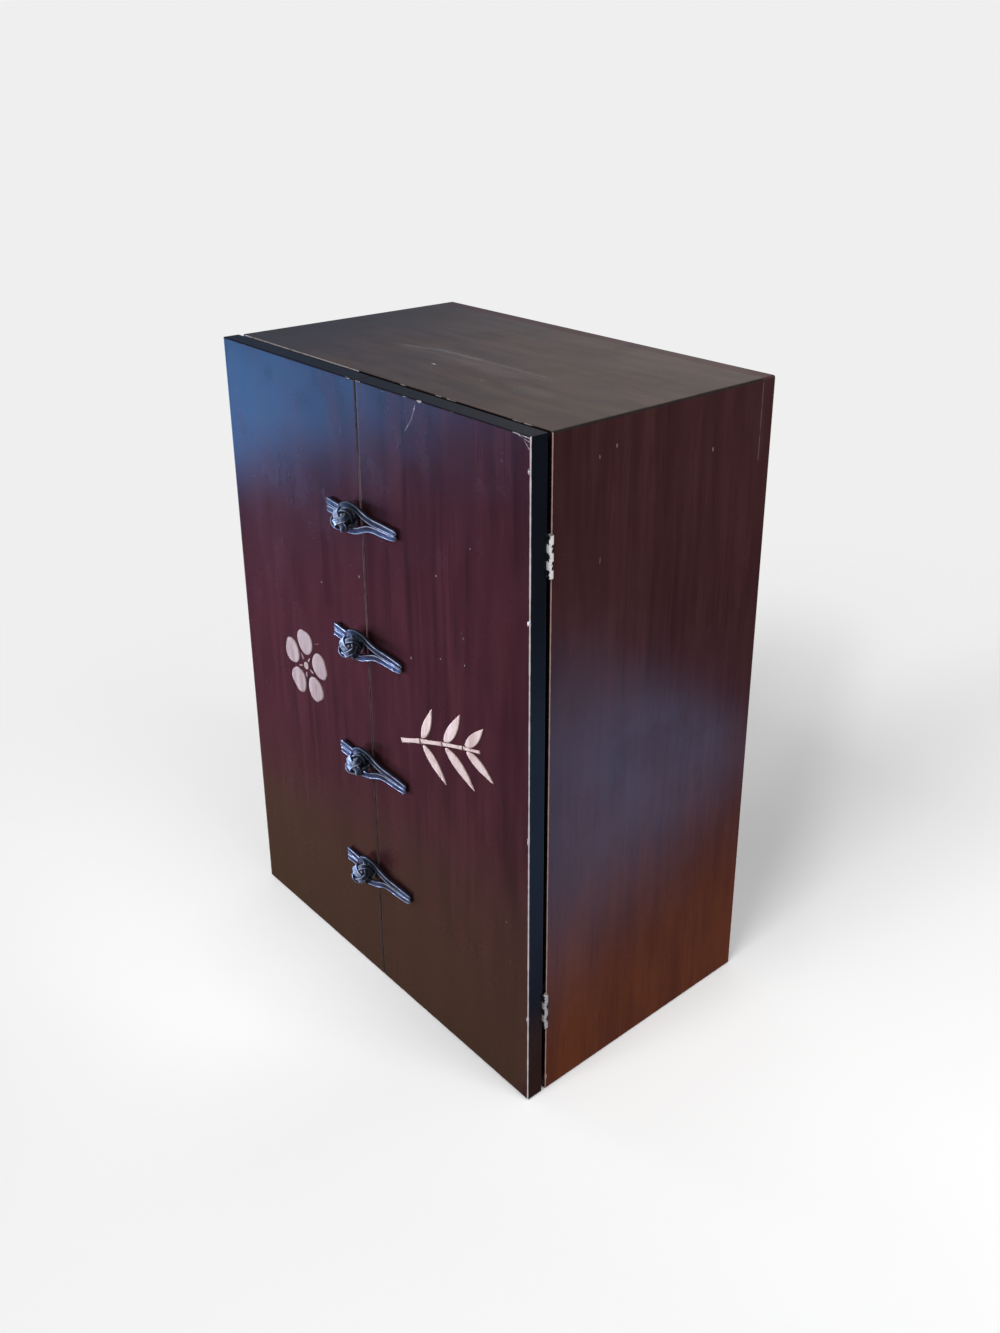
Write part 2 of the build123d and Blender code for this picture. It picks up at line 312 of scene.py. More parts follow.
# %% [markdown]
# ## The lacquer
#
# One function makes the finish of every board. The stain lies between a dark and a light tone
# along the streaks, and warms towards the foot: a painted reflection of warm light from the
# floor. Inside the case the wood is only stained and has less gloss. The boards' front edges,
# which the doors cover, are black, and so are the doors' own edges but for the seam. There the
# left door's face is pale between two heights, partly rubbed and partly painted light that lifts
# it out of the gap's shade. Where several kinds of wear meet the strongest one shows, and under
# it lies bare wood.
#
# The gloss is that of hand-rubbed lacquer: low from straight in front, higher at a slant.

# %% Lacquer
BARE_WOOD = (0.48, 0.37, 0.34, 1.0)
# The seam's dark tone, and its pale one: partly rubbed, partly painted light out of the gap's shade
SEAM_LOW, SEAM_PALE_LIT = (0.020, 0.010, 0.010, 1.0), (0.130, 0.062, 0.066, 1.0)
RIM = (0.007, 0.006, 0.007, 1.0)
DOOR_EDGE_FOOT = (0.0220, 0.0120, 0.0095, 1.0)
INSIDE_DARK = (0.060, 0.026, 0.017, 1.0)
INSIDE_LIGHT = (0.120, 0.052, 0.032, 1.0)
PORE_TONE, PORE_SHARE, SPECK_SHARE = (0.008, 0.003, 0.003, 1.0), 0.32, 0.35
FACE_GLOSS, DOOR_EDGE_GLOSS = 0.26, 0.09
INNER_X, INNER_FOOT, INNER_TOP, INNER_BACK = 148.2, 11.8, 438.2, 81.4
# Heights in metres: where the painted warm reflection of the floor fades out, between which the
# left door's seam face is pale, partly rubbed and partly painted light, and from where up the
# doors' outer edges are black
FLOOR_GLOW_BELOW = 0.24
SEAM_LIT_HEIGHTS = (0.20, 0.28, 0.385, 0.415)
BLACK_EDGE_FROM = (0.046, 0.082)
ALONG_Z = (1.0, 1.0, 0.03)
ALONG_X = (0.03, 1.0, 1.0)


def new_material(name):
    """A material with its graph, its Principled shader and its Object coordinates."""
    material = bpy.data.materials.new(name)
    material.use_nodes = True
    graph = Graph(material.node_tree)
    shader = material.node_tree.nodes["Principled BSDF"]
    return material, graph, shader, graph.node("TexCoord").outputs["Object"]


def inside_mask(graph, position):
    """One inside the case's inner walls, nought on its outer faces and edges."""
    x, y, z = graph.split(position)
    mask = graph.math("LESS_THAN", graph.math("ABSOLUTE", x), INNER_X * MM)
    mask = graph.times(mask, graph.math("GREATER_THAN", z, INNER_FOOT * MM))
    mask = graph.times(mask, graph.math("LESS_THAN", z, INNER_TOP * MM))
    mask = graph.times(mask, graph.math("LESS_THAN", y, INNER_BACK * MM))
    return graph.times(mask, graph.math("GREATER_THAN", y, (CASE_FRONT + 0.3) * MM))


def wear_mask(graph, position, worn, chips=(), scratches=()):
    """The strongest of all the worn edges, chips and scratches at a point."""
    masks = []

    def add(group, strength, **inputs):
        mask = graph.use(group, Position=position, **inputs)["Mask"]
        masks.append(graph.times(mask, strength))

    for corner, across, width, coverage, strength in worn:
        add(WORN_EDGE, strength, Corner=mm(*corner), Across=across, Width=width * MM, Coverage=coverage)
    for place, size, strength in chips:
        add(CHIP, strength, Place=mm(*place), Size=mm(*size))
    for start, finish, width, strength in scratches:
        add(SCRATCH, strength, Start=mm(*start), Finish=mm(*finish), Width=width * MM)
    total = masks[0]
    for mask in masks[1:]:
        total = graph.math("MAXIMUM", total, mask)
    return total


def lacquer(
    name,
    tones,
    along,
    worn,
    chips=(),
    scratches=(),
    streaky=0.42,
    bare=BARE_WOOD,
    edge=None,
    mitre=None,
    shaded_end=None,
):
    """The finish of one board. tones are the stain's dark, its light, and its light under the
    painted warm reflection of the floor at the foot. streaky is the streaks' share of the pattern,
    bare the tone under the film and edge the tone of a door's edges. The lacquer lies thick and
    black in the mitre, and the last argument says from where to where along x the stain rises from
    a painted shade, its dark tone, to its own tone."""
    dark, light, foot = tones
    material, graph, shader, position = new_material(name)
    grain = graph.use(GRAIN, Position=position, Squeeze=along)
    handling = graph.use(HANDLING, Position=position)
    height = graph.split(position)["Z"]
    # Painted warm reflection of the floor, strongest at the foot
    floor_glow = graph.ramp(height, 0.0, FLOOR_GLOW_BELOW, 1.0, 0.0)
    light_tone = graph.mix(floor_glow, light, foot)
    dark_tone = graph.mix(graph.times(floor_glow, 0.45), dark, foot)
    soft = graph.plus(graph.times(grain["Clouds"], 0.4), graph.times(grain["Blotches"], 0.6))
    tone = graph.times(soft, 1.0 - streaky)
    tone = graph.plus(tone, graph.times(grain["Streaks"], streaky))
    stain = graph.mix(tone, dark_tone, light_tone)
    # Painted shade: dark at one end of the board, lifting to the stain's own tone along x
    if shaded_end:
        end_shade = graph.ramp(graph.split(position)["X"], *mm(*shaded_end), 1.0, 0.0)
        stain = graph.mix(end_shade, stain, dark_tone)
    inner = inside_mask(graph, position)
    stain = graph.mix(inner, stain, graph.mix(grain["Streaks"], INSIDE_DARK, INSIDE_LIGHT))
    stain = graph.mix(graph.times(grain["Pores"], PORE_SHARE), stain, PORE_TONE)
    shader.inputs["Specular IOR Level"].default_value = FACE_GLOSS
    if not edge:
        rim = graph.math("LESS_THAN", graph.split(position)["Y"], (CASE_FRONT + 0.12) * MM)
        stain = graph.mix(rim, stain, RIM)
    else:
        x, y, _ = graph.split(position)
        sides = graph.math("GREATER_THAN", y, (DOOR_FRONT + 0.12) * MM)
        sides = graph.times(sides, graph.math("LESS_THAN", y, (DOOR_BACK - 0.2) * MM))
        from_seam = graph.math("ABSOLUTE", x)
        # The left door's seam face, pale between two heights: partly rubbed, partly painted light
        lit_seam_face = graph.times(graph.band(height, *SEAM_LIT_HEIGHTS), graph.math("LESS_THAN", x, 0.0))
        worn_and_lit = graph.mix(lit_seam_face, SEAM_LOW, SEAM_PALE_LIT)
        outer_tone = graph.mix(graph.ramp(height, *BLACK_EDGE_FROM), DOOR_EDGE_FOOT, edge)
        own_tone = graph.mix(graph.math("GREATER_THAN", from_seam, 0.001), worn_and_lit, outer_tone)
        stain = graph.mix(sides, stain, own_tone)
        matt = graph.ramp(sides, 0.0, 1.0, FACE_GLOSS, DOOR_EDGE_GLOSS)
        graph.feed(matt, shader.inputs["Specular IOR Level"])
    if mitre:
        stain = graph.mix(wear_mask(graph, position, [mitre]), stain, RIM)
    wear = wear_mask(graph, position, worn, chips, scratches)
    wear = graph.math("MAXIMUM", wear, graph.times(handling["Specks"], SPECK_SHARE))
    graph.feed(graph.mix(wear, stain, bare), shader.inputs["Base Color"])
    rough = graph.ramp(handling["Smears"], 0.0, 1.0, 0.20, 0.27)
    for mask, more in ((grain["Blotches"], 0.03), (inner, 0.22), (wear, 0.35)):
        rough = graph.plus(rough, graph.times(mask, more))
    graph.feed(rough, shader.inputs["Roughness"])
    relief = graph.times(grain["Streaks"], 0.38 * streaky)
    relief = graph.minus(relief, graph.times(grain["Pores"], 0.3))
    relief = graph.minus(relief, graph.times(wear, 1.5))
    graph.bump(shader, 0.28, 0.00012, relief)
    return material


def dress(names, material):
    """Gives carried-over nodes their material."""
    for name in names:
        mesh = nodes[name].data
        mesh.materials.clear()
        mesh.materials.append(material)
    print(f"{material.name}: {', '.join(names)}")


# %% [markdown]
# ## Boards and doors
#
# Each board gets its own tones and its own history. The near edges of the right door and of
# the right side carry an almost unbroken pale line, the far ones only touches. The top is
# greyer and more even than the rest. Things set down on it have left faint scuffs, and a faint
# line where one was dragged across.

# %% Tones and marks
# The stain's dark, its light, and its light under the painted warm reflection of the floor
WINE = (0.0085, 0.0022, 0.0030, 1.0), (0.0345, 0.0086, 0.0104, 1.0), (0.0310, 0.0092, 0.0076, 1.0)
BROWN = (0.0270, 0.0090, 0.0095, 1.0), (0.0560, 0.0200, 0.0195, 1.0), (0.128, 0.0360, 0.0095, 1.0)
FAR_BROWN = (*BROWN[:2], (0.0760, 0.0245, 0.0150, 1.0))
TOP_DARK, TOP_LIGHT = (0.030, 0.0225, 0.0185, 1.0), (0.086, 0.0565, 0.0430, 1.0)
GREY_BROWN = (TOP_DARK, TOP_LIGHT, TOP_LIGHT)
INSIDE = (INSIDE_DARK, INSIDE_LIGHT, INSIDE_LIGHT)
DOOR_EDGE = (0.0035, 0.0065, 0.0100, 1.0)
RED_WOOD = (0.42, 0.27, 0.235, 1.0)
PALE_WOOD = (0.60, 0.54, 0.56, 1.0)
DOOR = {"tones": WINE, "along": ALONG_Z, "streaky": 0.52, "bare": PALE_WOOD, "edge": DOOR_EDGE}

# Worn edges run along one axis, so the distance from them is measured across the other two
UPRIGHT = (1.0, 1.0, 0.0)
LEVEL = (0.0, 1.0, 1.0)
DEEP = (1.0, 0.0, 1.0)


# Each worn edge is its place, its direction, its width, its coverage and its strength
def upright_edge(x, y, width, coverage, strength=1.0):
    return ((x, y, 0.0), UPRIGHT, width, coverage, strength)


def level_edge(y, z, width, coverage, strength=1.0):
    return ((0.0, y, z), LEVEL, width, coverage, strength)


def deep_edge(x, z, width, coverage, strength=1.0):
    return ((x, 0.0, z), DEEP, width, coverage, strength)


def door_chip(x, z, wide, tall, strength=0.6):
    return ((x, DOOR_FRONT, z), (wide, 1.2, tall), strength)


def side_chip(y, z, deep, tall, strength=0.4):
    return ((SIDE_X, y, z), (1.2, deep, tall), strength)


def door_scratch(start, finish, width, strength):
    return ((start[0], DOOR_FRONT, start[1]), (finish[0], DOOR_FRONT, finish[1]), width, strength)


# %% Doors
right_door_finish = lacquer(
    "Wine lacquer, right door",
    worn=[
        upright_edge(SIDE_X, DOOR_FRONT, 0.80, 1.0, 0.95),
        upright_edge(SEAM_X, DOOR_FRONT, 0.85, 0.9, 0.13),
        level_edge(DOOR_FRONT, CASE_TOP, 0.40, 0.30, 0.35),
        level_edge(DOOR_FRONT, DOOR_FOOT, 0.55, 0.6, 0.6),
    ],
    chips=[
        door_chip(64.7, CASE_TOP - 0.2, 2.6, 0.6),
        door_chip(158.6, 430.9, 0.8, 1.6),
        door_chip(159.2, 67.1, 0.9, 2.0),
        door_chip(158.9, 343.1, 1.1, 1.8, 0.8),
        door_chip(159.3, 201.0, 0.7, 2.6),
        door_chip(76.3, 345.5, 0.4, 0.6, 0.45),
        door_chip(108.8, 372.5, 0.4, 0.5, 0.45),
        door_chip(48.1, 280.4, 0.4, 0.8, 0.45),
        door_chip(102.0, 296.0, 0.35, 0.7, 0.45),
    ],
    scratches=[
        door_scratch((60.8, 446.6), (56.5, 437.0), 0.35, 0.5),
        door_scratch((56.5, 437.0), (50.0, 429.0), 0.30, 0.4),
        door_scratch((1.3, 449.4), (1.2, 345.0), 0.55, 0.12),
        door_scratch((146.0, 449.6), (159.4, 449.0), 0.45, 0.75),
        door_scratch((150.5, 449.0), (159.2, 446.9), 0.35, 0.65),
        door_scratch((154.5, 447.4), (159.4, 442.8), 0.35, 0.60),
    ],
    **DOOR,
)
dress(["right_door"], right_door_finish)

left_door_finish = lacquer(
    "Wine lacquer, left door",
    worn=[
        upright_edge(-SIDE_X, DOOR_FRONT, 0.55, 0.35, 0.6),
        upright_edge(-SEAM_X, DOOR_FRONT, 0.7, 0.8, 0.10),
        level_edge(DOOR_FRONT, CASE_TOP, 0.35, 0.25, 0.35),
        level_edge(DOOR_FRONT, DOOR_FOOT, 0.55, 0.6, 0.6),
    ],
    chips=[door_chip(-6.0, 318.5, 0.4, 0.8, 0.45), door_chip(-52.0, 300.0, 0.4, 0.6, 0.45)],
    scratches=[door_scratch((-61.0, 250.0), (-67.0, 247.5), 0.25, 0.35)],
    **DOOR,
)
dress(["left_door"], left_door_finish)

# %% Sides
right_side_finish = lacquer(
    "Brown lacquer, right side",
    BROWN,
    ALONG_Z,
    worn=[
        upright_edge(SIDE_X, CASE_FRONT, 0.66, 1.0, 0.92),
        deep_edge(SIDE_X, CASE_TOP, 0.30, 0.10, 0.3),
        deep_edge(SIDE_X, 0.0, 0.5, 0.3, 0.15),
    ],
    chips=[
        side_chip(-45.0, 432.9, 0.6, 1.6),
        side_chip(-58.1, 428.7, 0.4, 1.2),
        side_chip(37.5, 413.9, 0.6, 1.6),
        side_chip(-55.8, 367.2, 0.35, 2.0, 0.3),
        side_chip(-93.0, 10.4, 1.0, 2.2, 0.6),
    ],
    streaky=0.56,
    bare=RED_WOOD,
    mitre=deep_edge(SIDE_X, CASE_TOP, 1.3, 1.0, 0.95),
)
dress(["right_side"], right_side_finish)

left_side_finish = lacquer(
    "Brown lacquer, left side",
    FAR_BROWN,
    ALONG_Z,
    worn=[
        upright_edge(-SIDE_X, CASE_FRONT, 0.62, 0.8, 0.7),
        deep_edge(-SIDE_X, CASE_TOP, 0.5, 0.4, 0.5),
        deep_edge(-SIDE_X, 0.0, 0.5, 0.3, 0.15),
    ],
    chips=[
        ((-SIDE_X, 20.0, 380.0), (1.2, 0.5, 1.4), 0.4),
        ((-SIDE_X, -70.0, 120.0), (1.2, 0.6, 1.2), 0.4),
    ],
    bare=RED_WOOD,
)
dress(["left_side"], left_side_finish)

# %% Top and bottom
# Scuffs of the top: x, y, width, depth and strength
SCUFFS = [
    (-48.0, -30.0, 20.0, 6.0, 0.030),
    (-18.0, -24.0, 26.0, 8.0, 0.036),
    (14.0, -25.0, 30.0, 8.0, 0.048),
    (44.0, -31.0, 22.0, 9.0, 0.050),
    (66.0, -20.0, 17.0, 6.0, 0.034),
    (91.0, -47.0, 20.0, 8.0, 0.040),
]
# The ends of the bare line along the top's front edge
EDGE_START, EDGE_FINISH = ((x, CASE_FRONT + 0.2, CASE_TOP - 0.2) for x in (-157.0, -18.0))

top_finish = lacquer(
    "Brown lacquer, top",
    GREY_BROWN,
    ALONG_X,
    worn=[level_edge(CASE_FRONT, CASE_TOP, 0.40, 0.2, 0.4)],
    chips=[
        ((-0.5, -47.9, CASE_TOP), (2.8, 0.7, 1.0), 0.75),
        ((52.0, -52.0, CASE_TOP), (1.6, 0.4, 1.0), 0.35),
        *(((x, y, CASE_TOP), (wide, deep, 4.0), strength) for x, y, wide, deep, strength in SCUFFS),
    ],
    scratches=[
        (EDGE_START, EDGE_FINISH, 0.62, 1.0),
        ((-57.0, -29.0, CASE_TOP), (-30.0, -20.5, CASE_TOP), 3.4, 0.13),
        ((-30.0, -20.5, CASE_TOP), (10.0, -18.5, CASE_TOP), 3.8, 0.15),
        ((10.0, -18.5, CASE_TOP), (71.0, -17.6, CASE_TOP), 3.0, 0.09),
    ],
    streaky=0.13,
    bare=PALE_WOOD,
    mitre=deep_edge(SIDE_X, CASE_TOP, 1.0, 1.0, 0.95),
    # Painted shade darkens the top's left end
    shaded_end=(-165.0, -30.0),
)
dress(["top_board"], top_finish)

bottom_finish = lacquer(
    "Brown lacquer, bottom",
    GREY_BROWN,
    ALONG_X,
    worn=[level_edge(CASE_FRONT, 0.0, 0.9, 0.7, 0.8)],
)
dress(["bottom_board"], bottom_finish)

# %% Back and shelf
back_finish = lacquer(
    "Brown lacquer, back",
    BROWN,
    ALONG_Z,
    worn=[
        upright_edge(SIDE_X, -CASE_FRONT, 0.9, 0.35, 0.5),
        upright_edge(-SIDE_X, -CASE_FRONT, 0.9, 0.35, 0.5),
        level_edge(-CASE_FRONT, CASE_TOP, 0.7, 0.35, 0.5),
    ],
    scratches=[
        ((side, INNER_BACK + 0.3, 447.0), (side, INNER_BACK + 0.3, 398.0), 0.75, 0.22)
        for side in (SIDE_X, -SIDE_X)
    ],
)
dress(["back_board"], back_finish)

shelf_finish = lacquer(
    "Stained wood, shelf",
    INSIDE,
    ALONG_X,
    worn=[level_edge(CASE_FRONT + 3.0, 220.0, 0.8, 0.4, 0.5)],
)
dress(["shelf"], shelf_finish)

# %% [markdown]
# ## Hinges, screws and nails
#
# The hinges are pale nickel plate, bright on the upper pair and dull near the floor. Beside each
# knuckle the other leaf is cut back, and the cut is black in a ragged band along the barrel: old
# oil, and a painted shadow of a cut deeper than the modelled one. Fine scratches run round the
# barrel. The back board's nails were never plated.

# %% Metals
pin_low, pin_high = (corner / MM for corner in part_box("upper_right_hinge_pin"))
BARREL_X, BARREL_Y = (pin_low.x + pin_high.x) / 2, (pin_low.y + pin_high.y) / 2
OIL_AND_SHADOW, WORN_PLATE = (0.006, 0.006, 0.008, 1.0), (0.36, 0.35, 0.33, 1.0)
WORN_PLATE_BELOW = (0.10, 0.20)
# The way across a barrel, level and slanting: its share outwards and its share inwards. The
# black band of oil and painted shadow wavers by the first of the two lengths in millimetres and
# is soft over the second
ACROSS_BARREL = (0.66, 0.75)
OIL_SHADOW_RAGGED, OIL_SHADOW_SOFT = 0.45, 0.1


def plated_metal(name, bright, dull, roughness, metallic, oil_shadow_limits=None):
    """Metal with cloudy dull patches and fine turned scratches. The last argument gives two
    limits, in millimetres across a hinge's barrel: what lies between them is black, old oil and
    painted shadow."""
    material, graph, shader, position = new_material(name)
    tarnish = graph.ramp(graph.noise(position, 320.0, 3.0), 0.4, 0.68)
    turned = graph.noise(graph.vector("MULTIPLY", position, (1.0, 1.0, 30.0)), 260.0, 2.0)
    plate = graph.mix(tarnish, bright, dull)
    low_down = graph.ramp(graph.split(position)["Z"], *WORN_PLATE_BELOW, 0.8, 0.0)
    plate = graph.mix(low_down, plate, WORN_PLATE)
    if oil_shadow_limits:
        x, y, _ = graph.split(position)
        outwards = graph.minus(graph.math("ABSOLUTE", x), BARREL_X * MM)
        inwards = graph.minus(y, BARREL_Y * MM)
        across = graph.times(outwards, ACROSS_BARREL[0])
        across = graph.plus(across, graph.times(inwards, ACROSS_BARREL[1]))
        ragged = graph.ramp(graph.noise(position, 700.0), 0.3, 0.7, *mm(-OIL_SHADOW_RAGGED, OIL_SHADOW_RAGGED))
        limits = mm(*(limit + soft for limit in oil_shadow_limits for soft in (-OIL_SHADOW_SOFT, OIL_SHADOW_SOFT)))
        # Black band beside the knuckle: old oil and painted shadow in the cut
        oil_and_shadow = graph.band(graph.plus(across, ragged), *limits)
        plate = graph.mix(oil_and_shadow, plate, OIL_AND_SHADOW)
    graph.feed(plate, shader.inputs["Base Color"])
    rough = graph.ramp(tarnish, 0.0, 1.0, roughness, roughness + 0.25)
    graph.feed(rough, shader.inputs["Roughness"])
    graph.bump(shader, 0.25, 0.00004, turned)
    shader.inputs["Metallic"].default_value = metallic
    return material


# Bright tone, dull tone, roughness, and how metallic it is
NICKEL = (0.95, 0.95, 0.90, 1.0), (0.80, 0.79, 0.74, 1.0), 0.30, 0.35
PIN_NICKEL = (0.30, 0.30, 0.27, 1.0), (0.12, 0.12, 0.11, 1.0), 0.40, 0.35
IRON = (0.32, 0.30, 0.28, 1.0), (0.16, 0.12, 0.10, 1.0), 0.42, 0.90
METALS = [
    ("_screws", plated_metal("Nickel plate", *NICKEL)),
    ("_pin", plated_metal("Dull nickel, pins", *PIN_NICKEL)),
    ("case_leaf", plated_metal("Nickel plate, case leaves", *NICKEL, oil_shadow_limits=(-3.0, -0.55))),
    ("door_leaf", plated_metal("Nickel plate, door leaves", *NICKEL, oil_shadow_limits=(0.8, 3.0))),
    ("_nails", plated_metal("Dull iron", *IRON)),
]
for ending, metal in METALS:
    dress([name for name in nodes if name.endswith(ending)], metal)

# %% [markdown]
# ## Surfaces from formulas
#
# Every new piece is a grid of points worked out as one array: rows run along the piece, columns
# run round it. `patch` joins neighbouring points into quads, and `piece` merges patches into one
# mesh. The UV map holds the length along the piece in centimetres and the share of the way
# round, so that a pattern can follow a cord.


# %% Grids into meshes
def patch(points, ring=False, lengths=None):
    """Quads over a grid that closes round its columns, with flat ends unless the rows ring."""
    rows, columns = points.shape[:2]
    row, column = np.meshgrid(
        np.arange(rows if ring else rows - 1), np.arange(columns), indexing="ij"
    )
    next_row, next_column = (row + 1) % rows, (column + 1) % columns
    corners = [(row, column), (row, next_column), (next_row, next_column), (next_row, column)]
    quads = np.stack([r * columns + c for r, c in corners], -1).reshape(-1, 4)
    if lengths is None:
        lengths = np.arange(rows + 1) / rows
    along = lengths[np.stack([row, row, row + 1, row + 1], -1)].reshape(-1, 4)
    round_it = (np.stack([column, column + 1, column + 1, column], -1) / columns).reshape(-1, 4)
    faces = quads.tolist()
    uv = np.stack([along, round_it], -1).reshape(-1, 2)
    if not ring:
        last = (rows - 1) * columns
        faces += [list(range(columns))[::-1], list(range(last, last + columns))]
        cap = np.column_stack([np.zeros(columns), np.arange(columns) / columns])
        uv = np.concatenate([uv, cap[::-1], cap + (lengths[rows - 1], 0.0)])
    return points.reshape(-1, 3), faces, uv


def piece(name, patches, material, body):
    """One smooth mesh of several patches in millimetres, riding on a body."""
    starts = np.cumsum([0] + [len(points) for points, _, _ in patches])
    vertices = np.concatenate([points for points, _, _ in patches]) * MM
    faces = [[v + start for v in face] for start, (_, own, _) in zip(starts, patches) for face in own]
    mesh = bpy.data.meshes.new(name)
    mesh.from_pydata(vertices.tolist(), [], faces)
    uv_map = mesh.uv_layers.new(name="UVMap")
    uv_map.data.foreach_set("uv", np.concatenate([uv for _, _, uv in patches]).ravel())
    mesh.shade_smooth()
    mesh.materials.append(material)
    thing = bpy.data.objects.new(name, mesh)
    bpy.context.scene.collection.objects.link(thing)
    if body:
        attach(thing, body)
    return thing


# %% [markdown]
# ## Folded strap
#
# The frogs are tied from a narrow strap, folded so that both edges stand up as piping with a
# woven face between them. A section is carried along a path: the strap's top always turns
# towards a given direction, away from the door or out of the knot.


# %% Strap
def unit(vectors):
    """Vectors divided by their lengths."""
    return vectors / np.linalg.norm(vectors, axis=-1, keepdims=True)


def smooth_path(corners, count):
    """A curve through given points: cubic pieces whose slopes are the mean step between
    each point's two neighbours."""
    corners = np.array(corners, float)
    slopes = np.gradient(corners, axis=0)
    at = np.linspace(0, len(corners) - 1, count)
    start = np.minimum(at.astype(int), len(corners) - 2)
    t = (at - start)[:, None]
    rise = t * t * (3 - 2 * t)
    leave = t * (1 - t) ** 2
    arrive = t * t * (t - 1)
    position = corners[start] * (1 - rise) + corners[start + 1] * rise
    return position + slopes[start] * leave + slopes[start + 1] * arrive


# The section: an oval squared off by raising its sine and cosine to powers below one, with a
# bell-shaped ridge near either edge of its upper side
turn = np.linspace(0, 2 * pi, 28, endpoint=False)
flat_across = np.sign(np.cos(turn)) * np.abs(np.cos(turn)) ** 0.55
flat_rise = np.sign(np.sin(turn)) * np.abs(np.sin(turn)) ** 0.7
piping = np.exp(-(((np.abs(flat_across) - 0.78) / 0.17) ** 2)) * (flat_rise > 0)
STRAP_ACROSS = flat_across / 2
STRAP_RISE = flat_rise / 2 * 0.86 + piping * 0.20


def strap(path, top, width, thickness, ring=False):
    """A folded strap: at each point of the path its section lies across the way forward, flat
    sides along the path, with its piping towards top."""
    if ring:
        forward = unit(np.roll(path, -1, 0) - np.roll(path, 1, 0))
    else:
        forward = unit(np.gradient(path, axis=0))
    side = unit(np.cross(top, forward))
    up = np.cross(forward, side)
    across = side[:, None] * (np.broadcast_to(width, len(path))[:, None] * STRAP_ACROSS)[..., None]
    rise = up[:, None] * (np.broadcast_to(thickness, len(path))[:, None] * STRAP_RISE)[..., None]
    steps = np.linalg.norm(np.diff(path, axis=0, append=path[:1]), axis=1)
    lengths = np.concatenate([[0.0], np.cumsum(steps)]) / 10
    return patch(path[:, None] + across + rise, ring, lengths)


def rounded_end(from_end, length):
    """The share of its width that a strap has near its end: a quarter circle over this length."""
    share = np.clip(from_end / length, 0, 1)
    return np.sqrt(np.clip(1 - (1 - share) ** 2, 0.02, 1))


def on_door(flat):
    """Points given as (right, up, out from the door's face) as points in space."""
    flat = np.asarray(flat, float)
    return np.stack([flat[..., 0], DOOR_FRONT - flat[..., 2], flat[..., 1]], -1)


AWAY = np.array([0.0, -1.0, 0.0])

# %% [markdown]
# ## Blue-black leather cord
#
# Waxed leather, almost black in the folds. Its piping is pale, partly rubbed and partly
# a painted highlight, and a fine row of stitches runs along it. The UV map's second number says
# where on the section a point lies: the piping is at two shares of the way round, and the face
# between them is finely ribbed.
#
# Painted light and shade model the balls and loops. A painted shadow blackens each loop just
# above its ball, and painted shade blackens the back of the ball's right half. A painted
# highlight lights the ball pale in front, and painted shade keeps its side towards the door and
# away from the seam dark.

# %% Cord material
HIDE_DARK, HIDE_LIGHT = (0.004, 0.006, 0.014, 1.0), (0.013, 0.018, 0.040, 1.0)
# The piping's pale tone is partly rubbed wear and partly a painted highlight
WOVEN_FACE, PIPING_WORN_AND_LIT = (0.115, 0.185, 0.38, 1.0), (0.53, 0.61, 0.86, 1.0)
# A painted highlight for the ball's front, and painted shade for its side towards the door
HIGHLIGHT_TONE, SIDE_SHADE_TONE = (0.33, 0.41, 0.63, 1.0), (0.012, 0.017, 0.036, 1.0)
# Black for the painted shade and shadow on the balls and loops
SHADE_BLACK = (0.004, 0.007, 0.010, 1.0)
# Along the strap in centimetres, as its UV map is, and round it as a share of the whole way
STITCH_PITCH, RIB_PITCH = 0.12, 0.13
FACE_MIDDLE, PIPING_PLACE = 0.25, 0.112
# The balls' middle, to the right and out from the doors, in millimetres
BALL_X, BALL_OUT = -6.2, 9.0
# In metres: what stands out beyond the first and lies left of the second belongs to a ball
BALL_FROM, BALL_LIMIT = (-0.1150, -0.1140), (0.002, 0.004)
# Two level ways across a ball, and from where to where along them each painted highlight and
# shade fades
TO_THE_BACK, TO_THE_SEAM = (0.66, 0.75), (0.84, -0.55)
HIGHLIGHT_FADES, FAR_SHADE_STARTS, SIDE_SHADE_FADES = (-0.0025, 0.0003), (0.0008, 0.0024), (-0.0045, 0.0005)
# The painted shadow on each loop above its ball: heights above a ball's middle in millimetres,
# and its reach along x
SHADOW_ABOVE, SHADOW_BESIDE = (1.5, 3.5), (-0.0145, -0.0120, 0.002, 0.008)
FROG_PITCH = (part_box("frog_1_knot")[0].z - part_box("frog_2_knot")[0].z) / MM


def beyond_ball(graph, x, y, way):
    """How far a point lies beyond the balls' middle along a level direction."""
    middle = way[0] * BALL_X + way[1] * (DOOR_FRONT - BALL_OUT)
    along = graph.plus(graph.times(x, way[0]), graph.times(y, way[1]))
    return graph.minus(along, middle * MM)


